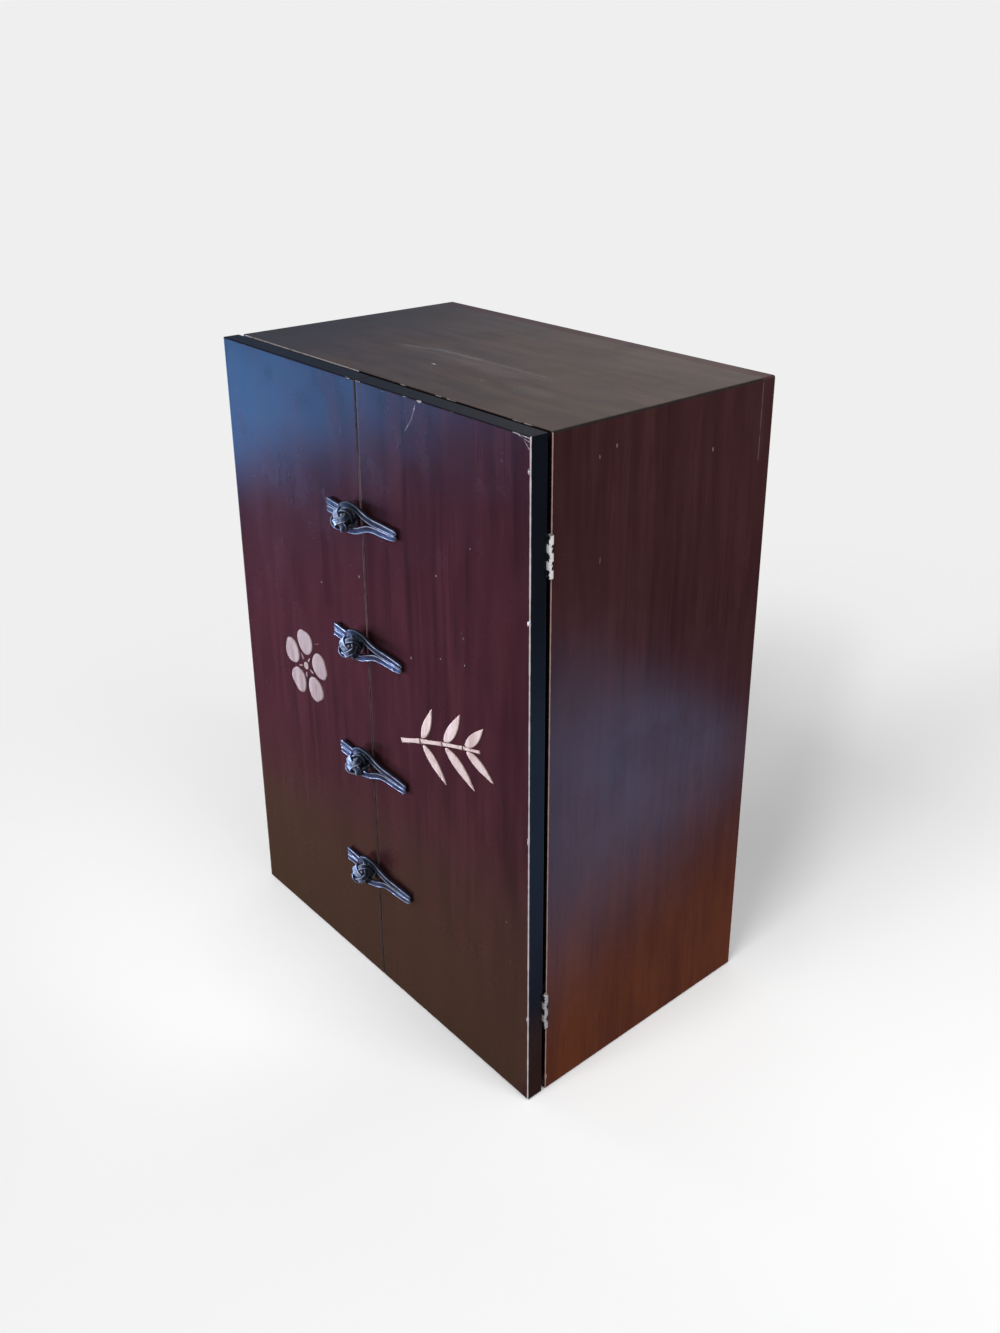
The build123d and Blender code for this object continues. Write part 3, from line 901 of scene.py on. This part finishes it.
def cord_leather():
    """The leather of every strap. Later tones lie over earlier ones: hide, woven face, piping
    with its painted highlight, the ball's painted highlight in front, painted shade on its side
    towards the door, and painted black shade and shadow."""
    material, graph, shader, position = new_material("Blue-black cord leather")
    place = graph.split(graph.node("UVMap").outputs[0])
    across = graph.math("ABSOLUTE", graph.minus(place["Y"], FACE_MIDDLE))
    from_piping = graph.math("ABSOLUTE", graph.minus(across, PIPING_PLACE))
    ridge = graph.ramp(from_piping, 0.016, 0.054, 1.0, 0.0)
    face = graph.ramp(across, 0.07, 0.095, 1.0, 0.0)
    stitch = graph.math("SINE", graph.times(place["X"], 2 * pi / STITCH_PITCH))
    slant = graph.plus(place["X"], graph.times(across, 0.9))
    rib = graph.math("SINE", graph.times(slant, 2 * pi / RIB_PITCH))
    grit = graph.ramp(graph.noise(position, 700.0, 3.0, 0.6), 0.3, 0.7)
    # Pale piping: partly rubbed wear, partly a painted highlight
    worn_and_lit = graph.times(ridge, graph.ramp(graph.noise(position, 160.0), 0.35, 0.6, 0.45, 1.0))
    worn_and_lit = graph.times(worn_and_lit, graph.ramp(stitch, -0.6, 0.3, 0.8, 1.0))
    woven = graph.times(face, graph.ramp(rib, -0.6, 0.8, 0.14, 0.26))
    woven = graph.times(woven, graph.ramp(graph.noise(position, 210.0), 0.38, 0.6, 0.15, 1.0))
    hide = graph.mix(grit, HIDE_DARK, HIDE_LIGHT)
    hide = graph.mix(woven, hide, WOVEN_FACE)
    hide = graph.mix(worn_and_lit, hide, PIPING_WORN_AND_LIT)
    x, y, z = graph.split(position)
    behind = beyond_ball(graph, x, y, TO_THE_BACK)
    on_ball = graph.times(
        graph.ramp(y, *BALL_FROM, 1.0, 0.0), graph.ramp(x, *BALL_LIMIT, 1.0, 0.0)
    )
    # Painted highlight on the ball's front
    ball_highlight = graph.times(on_ball, graph.ramp(behind, *HIGHLIGHT_FADES, 1.0, 0.0))
    ball_highlight = graph.times(ball_highlight, graph.ramp(grit, 0.1, 0.8, 0.30, 0.85))
    ball_highlight = graph.times(ball_highlight, graph.ramp(across, 0.070, 0.125, 1.0, 0.0))
    hide = graph.mix(ball_highlight, hide, HIGHLIGHT_TONE)
    # Painted shade on the ball's side towards the door and away from the seam
    to_seam = beyond_ball(graph, x, y, TO_THE_SEAM)
    side_shade = graph.ramp(to_seam, *SIDE_SHADE_FADES, 0.85, 0.0)
    hide = graph.mix(graph.times(on_ball, side_shade), hide, SIDE_SHADE_TONE)
    # Painted shade on the back of the ball's right half
    far_shade = graph.times(on_ball, graph.ramp(behind, *FAR_SHADE_STARTS))
    # A painted shadow on each loop just above its ball, then black over both
    half_pitch = FROG_PITCH / 2
    turns = graph.math("MODULO", graph.plus(z, half_pitch * MM), FROG_PITCH * MM)
    above = graph.ramp(turns, *mm(*(half_pitch + height for height in SHADOW_ABOVE)))
    beside = graph.band(x, *SHADOW_BESIDE)
    loop_shadow = graph.times(above, graph.times(beside, graph.ramp(y, *BALL_FROM)))
    black = graph.math("MAXIMUM", far_shade, graph.times(loop_shadow, 0.85))
    hide = graph.mix(graph.times(black, 0.93), hide, SHADE_BLACK)
    graph.feed(hide, shader.inputs["Base Color"])
    graph.feed(graph.ramp(grit, 0.0, 1.0, 0.34, 0.5), shader.inputs["Roughness"])
    shader.inputs["Specular IOR Level"].default_value = 0.22
    relief = graph.times(face, graph.times(rib, 0.3))
    relief = graph.plus(relief, graph.times(ridge, graph.times(stitch, 0.7)))
    relief = graph.plus(relief, grit)
    graph.bump(shader, 0.5, 0.00022, relief)
    return material


CORD_LEATHER = cord_leather()

# %% [markdown]
# ## The ball knot
#
# A button knot is one strap laced round a ball. Its path is a Turk's head: while it goes round
# three times it swings from pole to pole four times, and it dives and rises twice in each swing,
# so that at every crossing one lead lies over the other. The poles point along the door, where
# the two ends leave. The four knots were tied by hand, so each is turned and tilted its own way.

# %% Ball knot and its tails
BALL_RADIUS, HIGHEST_LATITUDE = 8.3, 0.98
LEAD_WIDTH, LEAD_THICKNESS, LEAD_DIVE = 4.5, 2.1, 0.95
STRAP_WIDTH, STRAP_THICKNESS = 4.5, 2.7


def sphere(latitude, longitude):
    """Points on a sphere of radius one, as (along the axis, and two across it)."""
    ring = np.cos(latitude)
    return np.stack([np.sin(latitude), ring * np.cos(longitude), ring * np.sin(longitude)], -1)


def turks_head(centre, spin, tilt):
    """The laced ball: longitude is 3t, latitude swings as cos 4t and the radius as sin 8t."""
    t = np.linspace(0, 2 * pi, 420, endpoint=False)
    longitude = 3 * t + spin
    latitude = HIGHEST_LATITUDE * np.cos(4 * t)
    radius = BALL_RADIUS - LEAD_THICKNESS / 2 - LEAD_DIVE + LEAD_DIVE * np.sin(8 * t)
    turned = sphere(latitude, longitude) @ np.array(Euler(tilt).to_matrix()).T
    return strap(centre + turned * radius[:, None], turned, LEAD_WIDTH, LEAD_THICKNESS, ring=True)


def shade_core(centre, radius):
    """A dark sphere inside the knot that stands in for the shade between the leads: a sphere of
    rows and columns.
    """
    latitude, longitude = np.meshgrid(
        np.linspace(-0.49 * pi, 0.49 * pi, 16),
        np.linspace(0, 2 * pi, 24, endpoint=False),
        indexing="ij",
    )
    ball = np.roll(sphere(latitude, longitude), -1, -1)
    return patch((centre + radius * ball)[::-1, ::-1])


def tail(height, side, splay, drift):
    """One end of the knot's strap: out of the ball's left pole, down to the door and away."""
    route = [
        (BALL_X - 4.5, side * 1.2, 7.2),
        (BALL_X - 8.6, side * 1.9, 4.4),
        (BALL_X - 13.0, side * 2.2 + 0.2 * drift, 2.0),
        (BALL_X - 20.0, side * (2.2 + 0.2 * splay) + 0.5 * drift, 1.5),
        (BALL_X - 29.8, side * (2.2 + 0.6 * splay) + drift, 1.6),
    ]
    path = smooth_path(route, 48)
    taper = rounded_end(path[:, 0] - path[-1, 0], 1.6)
    path[:, 1] += height
    return strap(on_door(path), AWAY, STRAP_WIDTH * taper, STRAP_THICKNESS * taper)


# For each frog from the top: the ball's rise, its spin and tilt, and its tails' splay and drift
KNOTS = [
    (0.4, 0.3, (0.25, 0.10, -0.15), 0.9, 1.6),
    (1.0, 1.1, (-0.20, 0.15, 0.20), 0.5, 2.2),
    (1.8, 2.0, (0.10, -0.25, -0.10), 0.8, 1.0),
    (2.2, 2.7, (-0.30, 0.05, 0.25), 1.3, 0.6),
]
frog_heights = []
for number, (rise, spin, tilt, splay, drift) in enumerate(KNOTS, start=1):
    low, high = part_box(f"frog_{number}_knot")
    height = (low.z + high.z) / 2 / MM
    frog_heights.append(height)
    centre = on_door((BALL_X, height + rise, BALL_OUT))
    parts = [
        turks_head(centre, spin, tilt),
        shade_core(centre, BALL_RADIUS - LEAD_THICKNESS - LEAD_DIVE),
        tail(height, 1, splay, drift),
        tail(height, -1, splay, drift),
    ]
    knot = piece(f"frog_{number}_laced_knot", parts, CORD_LEATHER, "left_door")
    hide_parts(f"frog_{number}_knot")
print("knots at heights", [round(height) for height in frog_heights])

# %% [markdown]
# ## The loops
#
# Each loop is one strap from the tip of the right-hand tail, round under the ball and back. It
# is sewn down on the right door and free round the ball. Here it is one fixed mesh that rides
# no body.

# %% Loops
LOOP_UPPER = [
    (39.3, 1.5, 1.3),
    (34.0, 2.0, 1.5),
    (25.0, 2.25, 1.5),
    (16.5, 2.35, 1.5),
    (10.5, 3.1, 1.7),
    (5.0, 5.1, 2.4),
    (-0.5, 7.4, 2.9),
    (-7.5, 8.5, 3.7),
    (-13.8, 6.2, 4.6),
    (-16.2, 0.0, 4.8),
]
# For each frog from the top: how far the loop leans up at its left, and its tip up or down.
# Both start from the waist, where the strap's two halves run side by side
LEANS = [(0.4, 0.0), (0.9, -0.6), (1.2, -0.2), (1.4, 0.7)]
WAIST, TO_LEFT, TO_TIP, END_LENGTH = 12.0, 28.0, 27.0, 2.4
for number, (height, (lean, tip)) in enumerate(zip(frog_heights, LEANS), start=1):
    lower = [(x, -up, out) for x, up, out in LOOP_UPPER[-2::-1]]
    path = smooth_path(LOOP_UPPER + lower, 230)
    share_left = np.clip((WAIST - path[:, 0]) / TO_LEFT, 0, 1)
    share_tip = np.clip((path[:, 0] - WAIST) / TO_TIP, 0, 1)
    path[:, 1] += height + lean * share_left + tip * share_tip**2
    from_end = np.minimum(np.arange(len(path)), np.arange(len(path))[::-1]) * 0.5
    taper = rounded_end(from_end, END_LENGTH)
    narrow = 1 - 0.22 * share_tip**2.5
    strand = strap(on_door(path), AWAY, STRAP_WIDTH * narrow * taper, STRAP_THICKNESS * taper)
    loop = piece(f"frog_{number}_strap_loop", [strand], CORD_LEATHER, None)
    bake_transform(loop)
    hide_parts(f"frog_{number}_loop_tail", f"frog_{number}_loop_eye")
print("loops laid")

# %% [markdown]
# ## Bare-wood ornaments
#
# Each door carries a small ornament of pale bare wood: a plum blossom on the left, a sprig of
# bamboo on the right, both old craft patterns. They are thin flat inlays with a rounded rim, so
# every petal, leaf and stem section is one lens: an outline, shrunk to its middle, with a
# height that stays level and drops at the rim.

# %% Ornament shapes
INLAY_HEIGHT, INLAY_SINK = 0.45, 0.3
PETAL_REACH, PETAL_PLACE = 9.6, 17.6
shrink = np.concatenate([np.linspace(0.03, 0.9, 7), [0.95, 0.985, 1.0]])


def lens(outline, middle):
    """A flat plate with a rounded rim inside an outline of (right, up) points."""
    outline, middle = np.asarray(outline, float), np.asarray(middle, float)
    flat = middle + shrink[:, None, None] * (outline - middle)
    top = np.sqrt(1 - np.clip((shrink - 0.86) / 0.14, 0, 1) ** 2) * INLAY_HEIGHT
    face = np.concatenate([flat, np.broadcast_to(top[:, None, None], flat.shape[:2] + (1,))], -1)
    back = np.concatenate([flat[::-1], np.full(flat.shape[:2] + (1,), -INLAY_SINK)], -1)
    return patch(on_door(np.concatenate([face, back])[:, ::-1]))


def petal(centre, angle):
    """A round petal with a shallow notch at its outer end and a narrow foot."""
    v = np.linspace(0, 2 * pi, 64, endpoint=False)
    notch = 0.09 * np.exp(-((np.minimum(v, 2 * pi - v) / 0.3) ** 2))
    reach = PETAL_REACH * (1 - notch + 0.10 * np.cos(v))
    along, aside = reach * np.cos(v), reach * np.sin(v) * (1 + 0.12 * np.cos(v))
    cos, sin = np.cos(angle), np.sin(angle)
    middle = np.array(centre) + PETAL_PLACE * np.array([cos, sin])
    outline = middle + np.stack([along * cos - aside * sin, along * sin + aside * cos], -1)
    return lens(outline, middle)


def round_dot(centre, radius):
    """The blossom's middle: a circle."""
    v = np.linspace(0, 2 * pi, 32, endpoint=False)
    return lens(np.array(centre) + radius * np.stack([np.cos(v), np.sin(v)], -1), centre)


def stepped(start, angle, distance):
    """The point at this distance from start, in the direction of the angle."""
    return start[0] + distance * np.cos(angle), start[1] + distance * np.sin(angle)


def blade(start, angle, length, width, bend=0.0, foot=0.35):
    """A leaf: its half width is a sine that swells early, along a spine that bends."""
    s = np.linspace(0.015, 0.985, 30)
    half = width / 2 * np.sin(pi * s**0.75) ** 0.9
    heading = angle + bend * (s - foot)
    step = length / len(s)
    spine = np.array(start) + np.cumsum(step * np.stack([np.cos(heading), np.sin(heading)], -1), 0)
    normal = np.stack([-np.sin(heading), np.cos(heading)], -1)
    left, right = spine + normal * half[:, None], spine - normal * half[:, None]
    return lens(np.concatenate([right, left[::-1]]), spine[len(s) // 2])


def stem_joint(start, end, width):
    """One section of a stem: a bar that flares a little at both ends."""
    start, end = np.array(start, float), np.array(end, float)
    s = np.linspace(0, 1, 12)
    half = width / 2 * (1 + 0.22 * (2 * s - 1) ** 6)
    along = unit(end - start)
    normal = np.array([-along[1], along[0]])
    spine = start + s[:, None] * (end - start)
    left, right = spine + normal * half[:, None], spine - normal * half[:, None]
    return lens(np.concatenate([right, left[::-1]]), (start + end) / 2)


# %% [markdown]
# ## Bare wood
#
# The wood of the ornaments is pale and pinkish, flecked with dark, and the door's own grain
# runs through it. The blossom's is a darker, greyer copy of the sprig's: painted shade against
# the raking lamp's stronger light on the left door.

# %% Ornament material
FLECK_TONE, OPEN_PORE_TONE = (0.20, 0.10, 0.085, 1.0), (0.12, 0.05, 0.045, 1.0)


def bare_wood(name, dark, light):
    """Wood between a dark and a light tone along its streaks, with dark flecks and open pores."""
    material, graph, shader, position = new_material(name)
    grain = graph.use(GRAIN, Position=position, Squeeze=(1.0, 1.0, 0.05))
    wood = graph.mix(grain["Streaks"], dark, light)
    flecks = graph.ramp(graph.noise(position, 520.0, 3.0, 0.7), 0.52, 0.66)
    wood = graph.mix(graph.times(flecks, 0.5), wood, FLECK_TONE)
    wood = graph.mix(graph.times(grain["Pores"], 0.6), wood, OPEN_PORE_TONE)
    graph.feed(wood, shader.inputs["Base Color"])
    graph.feed(graph.ramp(grain["Streaks"], 0.0, 1.0, 0.72, 0.58), shader.inputs["Roughness"])
    relief = graph.minus(grain["Streaks"], graph.times(grain["Pores"], 1.5))
    graph.bump(shader, 0.5, 0.00015, relief)
    return material


# The blossom's darker copy is painted shade against the raking lamp's light on the left door
SHADED_BARE_WOOD = bare_wood("Bare wood, shaded", (0.175, 0.120, 0.112, 1.0), (0.270, 0.205, 0.200, 1.0))
PALE = bare_wood("Bare wood, pale", (0.300, 0.200, 0.175, 1.0), (0.450, 0.335, 0.300, 1.0))

# %% Plum blossom on the left door
BLOSSOM = (-79.5, 226.0)
petals = [petal(BLOSSOM, pi / 2 + k * 2 * pi / 5) for k in range(5)]
stamens = [
    blade(stepped(BLOSSOM, angle, 4.6), angle, 5.4, 1.5)
    for angle in pi / 2 + pi / 5 + np.arange(5) * 2 * pi / 5
]
blossom = petals + stamens + [round_dot(BLOSSOM, 3.0)]
piece("plum_blossom", blossom, SHADED_BARE_WOOD, "left_door")

# %% Bamboo sprig on the right door
SPRIG = (80.0, 232.0)
STEM = [(-46.0, -17.0), (-25.0, -8.5), (-2.0, -0.5), (19.0, 6.0), (36.0, 10.5)]
# Leaves: where on the stem, angle, length, width and bend
LEAVES = [
    (-25.0, -8.5, -0.62, 31.0, 8.2, -0.25),
    (-25.0, -8.5, 1.10, 29.0, 7.6, 0.30),
    (-2.0, -0.5, -0.50, 35.0, 8.8, -0.30),
    (-2.0, -0.5, 0.95, 32.0, 8.0, 0.30),
    (19.0, 6.0, -0.35, 29.0, 7.6, -0.30),
    (19.0, 6.0, 0.80, 27.0, 7.2, 0.25),
]
stem = [
    stem_joint(
        np.array(a) + SPRIG + 0.5 * unit(np.subtract(b, a)),
        np.array(b) + SPRIG - 0.5 * unit(np.subtract(b, a)),
        3.0 - 0.35 * k,
    )
    for k, (a, b) in enumerate(zip(STEM, STEM[1:]))
]
leaves = [
    blade(stepped((SPRIG[0] + x, SPRIG[1] + y), angle, 2.6), angle, length, width, bend)
    for x, y, angle, length, width, bend in LEAVES
]
piece("bamboo_sprig", stem + leaves, PALE, "right_door")
print("ornaments laid")

# %% [markdown]
# ## Floor
#
# The floor is pale and plain, and fades out at its rim so that no horizon cuts the picture. To
# the camera it is a little greyer in the near right corner, carries a painted shadow behind the
# case, and on the left, beside the doors, glows a little: painted light that lifts the case's
# shade off the floor there.
#
# Lacquer mirrors whatever lies before it, and a pale floor would turn these dark boards grey. A
# studio lays dark cloth just out of the picture to keep them deep. Here the floor itself is dark
# to mirror rays alone, wine-coloured before the doors and almost black beside the case, with
# three lighter places: the strip at the foot of the doors, window light far off on the left,
# which puts the cold gleam on the left door, and a patch of it on the right, which glides over
# the side. Each place is a mask on the floor's own coordinates, in metres.

# %% Floor
FLOOR_RADIUS = 2.8
FADE_MIDDLE, FADE = (0.10, 0.20, 0.0), (0.35, 0.85)
angle = np.linspace(0, -2 * pi, 96, endpoint=False)
rim = np.linspace(0.0005, 1.0, 12)[:, None] * FLOOR_RADIUS
disc = np.stack([rim * np.cos(angle), rim * np.sin(angle), 0 * rim * angle], -1)
floor_points, floor_faces, _ = patch(disc)
floor_mesh = bpy.data.meshes.new("floor")
floor_mesh.from_pydata(floor_points.tolist(), [], floor_faces[:-1])
floor = bpy.data.objects.new("floor", floor_mesh)
bpy.context.scene.collection.objects.link(floor)


def grey(value):
    """A grey of this strength, as the colour that a socket takes."""
    return (value, value, value, 1.0)


LIT, SEEN, SEEN_NEAR, SEEN_PAINTED_SHADOW = grey(0.45), grey(1.0), grey(0.905), grey(0.88)
MIRRORED_CLOTH = (0.16, 0.06, 0.10, 1.0)
MIRRORED_WINE = (0.42, 0.155, 0.26, 1.0)
MIRRORED_STRIP = (0.40, 0.28, 0.18, 1.0)
MIRRORED_WINDOW = (0.46, 1.80, 4.2, 1.0)
MIRRORED_PATCH = (0.80, 1.20, 2.20, 1.0)

floor_material, graph, shader, position = new_material("Pale floor")
floor_material.cycles.emission_sampling = "NONE"
rays = graph.node("LightPath").outputs
shader.inputs["Roughness"].default_value = 0.9
shader.inputs["Specular IOR Level"].default_value = 0.1
from_middle = graph.vector("DISTANCE", position, FADE_MIDDLE)
graph.feed(graph.ramp(from_middle, *FADE, 1.0, 0.0), shader.inputs["Alpha"])
x, y, _ = graph.split(position)
away = graph.minus(y, graph.times(x, 0.5))
seen_tone = graph.mix(graph.ramp(away, -0.34, -0.08), SEEN_NEAR, SEEN)
# Painted shadow behind the case, deepening the case's own shadow
beside = graph.plus(x, graph.times(y, 0.55))
painted_shadow = graph.band(beside, 0.05, 0.15, 0.213, 0.293)
painted_shadow = graph.times(painted_shadow, graph.band(y, 0.08, 0.26, 0.50, 0.80))
seen_tone = graph.mix(painted_shadow, seen_tone, SEEN_PAINTED_SHADOW)
tone = graph.mix(rays["Is Camera Ray"], LIT, seen_tone)
graph.feed(tone, shader.inputs["Base Color"])
# Painted light for the camera, lifting the case's shade off the floor beside the doors
painted_lift = graph.times(graph.ramp(x, -0.06, 0.10, 0.10, 0.0), graph.ramp(y, -0.42, -0.20))
graph.feed(graph.times(painted_lift, rays["Is Camera Ray"]), shader.inputs["Emission Strength"])
shader.inputs["Emission Color"].default_value = grey(1.0)
slanting = graph.plus(y, graph.times(x, 0.22))
strip = graph.times(graph.ramp(slanting, -0.275, -0.245), graph.ramp(x, 0.14, 0.16, 1.0, 0.0))
leaning = graph.minus(graph.times(y, 0.1), x)
window = graph.times(graph.ramp(leaning, 0.97, 1.23), graph.ramp(y, 0.0, 0.30, 1.0, 0.0))
near_side = graph.minus(x, graph.times(y, 0.35))
patch_light = graph.times(graph.ramp(near_side, 0.20, 0.29), graph.ramp(x, 0.40, 0.72, 1.0, 0.0))
patch_light = graph.times(patch_light, graph.ramp(y, 0.33, 0.43, 1.0, 0.0))
patch_light = graph.times(patch_light, graph.ramp(y, -0.10, 0.28, 0.35, 1.0))
cloth = graph.mix(graph.ramp(x, 0.14, 0.16), MIRRORED_WINE, MIRRORED_CLOTH)
mirrored = graph.mix(strip, cloth, MIRRORED_STRIP)
mirrored = graph.mix(window, mirrored, MIRRORED_WINDOW)
mirrored = graph.mix(patch_light, mirrored, MIRRORED_PATCH)
glow = graph.node("Emission", Color=mirrored)
either = graph.node("MixShader")
graph.feed(rays["Is Glossy Ray"], either.inputs[0])
graph.feed(shader.outputs[0], either.inputs[1])
graph.feed(glow.outputs[0], either.inputs[2])
graph.feed(either.outputs[0], floor_material.node_tree.nodes["Material Output"].inputs["Surface"])
floor_mesh.materials.append(floor_material)

# %% [markdown]
# ## Surroundings
#
# Beyond the floor all is near-white, to the camera and through anything clear. In a mirror the
# same white counts at two fifths, as walls further off do, and it is dimmer and bluer towards
# the left. Everything else is lit by a plain grey sky.

# %% Surroundings
BACKDROP, ROOM = grey(0.865), grey(0.36)
MIRRORED_LEFT = (0.11, 0.14, 0.21, 1.0)
MIRRORED_RIGHT = (0.43, 0.385, 0.38, 1.0)
world = bpy.data.worlds.new("studio")
bpy.context.scene.world = world
world.use_nodes = True
graph = Graph(world.node_tree)
rays = graph.node("LightPath").outputs
heading = graph.split(graph.node("TexCoord").outputs["Generated"])["X"]
mirrored = graph.mix(graph.ramp(heading, -0.84, -0.62), MIRRORED_LEFT, MIRRORED_RIGHT)
light = graph.mix(rays["Is Glossy Ray"], ROOM, mirrored)
seen = graph.math("MAXIMUM", rays["Is Camera Ray"], rays["Is Transmission Ray"])
graph.feed(graph.mix(seen, light, BACKDROP), world.node_tree.nodes["Background"].inputs["Color"])

# %% [markdown]
# ## Lamps
#
# A large soft lamp high in front throws the case's shadow behind it. A low one on the left rakes
# across the doors and draws the knots' shadows on the lacquer; it would show in the doors as a
# white square, so mirror rays don't see it. The last one fills the right side.


# %% Lamps
def soft_lamp(name, place, target, size, watts, colour=(1.0, 1.0, 1.0), spread=180.0, mirrored=True):
    """A rectangular lamp at a place, turned to face a target. spread is its cone in degrees."""
    data = bpy.data.lights.new(name, "AREA")
    data.shape = "RECTANGLE"
    data.size, data.size_y = size
    data.energy = watts
    data.color = colour
    data.spread = spread * pi / 180
    lamp = bpy.data.objects.new(name, data)
    lamp.location = place
    lamp.rotation_euler = (Vector(target) - Vector(place)).to_track_quat("-Z", "Y").to_euler()
    lamp.visible_camera = False
    lamp.visible_glossy = mirrored
    bpy.context.scene.collection.objects.link(lamp)


soft_lamp("key", (0.35, -1.6, 2.1), (0.0, 0.1, 0.1), (1.2, 1.0), 37.0)
soft_lamp(
    "rake", (-1.15, -0.55, 0.07), (0.15, -0.11, 0.26), (0.30, 0.20), 2.75, (0.66, 0.80, 1.0), 26.0, False
)
soft_lamp("fill", (2.0, 0.3, 1.3), (0.1, 0.0, 0.2), (1.2, 1.2), 23.0)
